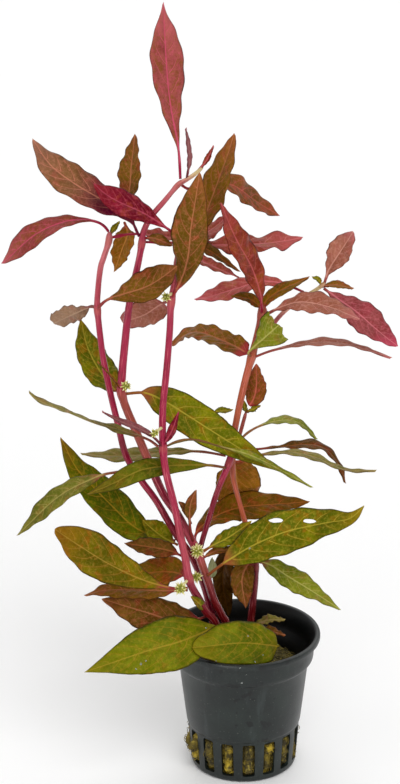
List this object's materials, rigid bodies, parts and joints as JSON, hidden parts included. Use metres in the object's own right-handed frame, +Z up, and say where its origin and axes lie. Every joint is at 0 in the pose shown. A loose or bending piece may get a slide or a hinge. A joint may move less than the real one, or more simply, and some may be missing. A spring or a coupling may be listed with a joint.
{
  "type": "potted alternanthera reineckii",
  "caption": "Tall red and green aquarium stem plant growing from mineral wool in a small slotted net pot, standing upright.",
  "frame": {"origin": "centre of the flat foot of the net pot, on the surface that it stands on", "axes": "+Z up along the pot's axis, +X to the viewer's right in the picture, -Y towards the viewer"},
  "size_m": [0.1318, 0.0589, 0.2781],
  "materials": {
    "pot_plastic": "slightly glossy dark grey moulded plastic",
    "mineral_wool": "damp yellow-brown fibre",
    "crimson_stem": "waxy, slightly translucent",
    "salmon_stem": "waxy, slightly translucent",
    "pink_stem": "waxy, slightly translucent",
    "green_leaf": "satin with orange veins",
    "olive_leaf": "satin with pink veins",
    "brown_leaf": "satin with pink veins",
    "red_leaf": "satin with pink veins",
    "pink_leaf": "satin, pink underside",
    "flower_head": "dry papery bracts"
  },
  "bodies": {
    "root": {"net_pot": "pot_plastic", "mineral_wool": "mineral_wool", "stem_left": "crimson_stem", "stem_centre": "crimson_stem", "stem_front": "crimson_stem", "stem_right": "salmon_stem", "stem_rear": "salmon_stem", "shoot_right": "pink_stem", "leaf_left_tip_up": "green_leaf", "leaf_left_tip_down": "olive_leaf", "leaf_left_upper": "red_leaf", "leaf_left_mid_small": "pink_leaf", "leaf_left_mid": "olive_leaf", "leaf_left_low": "green_leaf", "leaf_left_foot": "olive_leaf", "leaf_centre_crown": "pink_leaf", "leaf_centre_crown_right": "brown_leaf", "leaf_centre_upper_left": "olive_leaf", "leaf_centre_upper_right": "pink_leaf", "leaf_centre_mid_left": "green_leaf", "leaf_centre_mid_right": "green_leaf", "leaf_centre_low_holed": "green_leaf", "leaf_centre_low_brown": "brown_leaf", "leaf_centre_foot_brown": "brown_leaf", "leaf_over_rim": "green_leaf", "leaf_front_foot_green": "green_leaf", "leaf_front_top": "olive_leaf", "leaf_front_top_back": "olive_leaf", "leaf_front_top_left": "pink_leaf", "leaf_front_upper_left": "pink_leaf", "leaf_front_mid_left": "green_leaf", "leaf_front_mid_right": "green_leaf", "leaf_front_low_brown": "red_leaf", "leaf_front_low_rear": "brown_leaf", "leaf_front_low_broad": "green_leaf", "leaf_front_low_under": "red_leaf", "leaf_right_top": "red_leaf", "leaf_right_top_right": "pink_leaf", "leaf_right_torn": "green_leaf", "leaf_right_upper_left": "olive_leaf", "leaf_right_upper_right": "olive_leaf", "leaf_right_mid_arched": "green_leaf", "leaf_right_mid_dark": "brown_leaf", "leaf_right_mid_green": "green_leaf", "leaf_right_mid_left": "green_leaf", "leaf_right_mid_low": "green_leaf", "leaf_shoot_left": "pink_leaf", "leaf_shoot_right": "red_leaf", "leaf_shoot_tip": "pink_leaf", "leaf_rear_top": "brown_leaf", "leaf_rear_mid": "olive_leaf", "leaf_rear_low_right": "green_leaf", "leaf_rear_hanging_dark": "brown_leaf", "leaf_rear_hanging_olive": "olive_leaf", "flower_head_low": "flower_head", "flower_head_foot": "flower_head", "flower_head_fork": "flower_head", "flower_head_left": "flower_head", "flower_head_mid": "flower_head", "flower_head_top": "flower_head"}
  },
  "joints": []
}
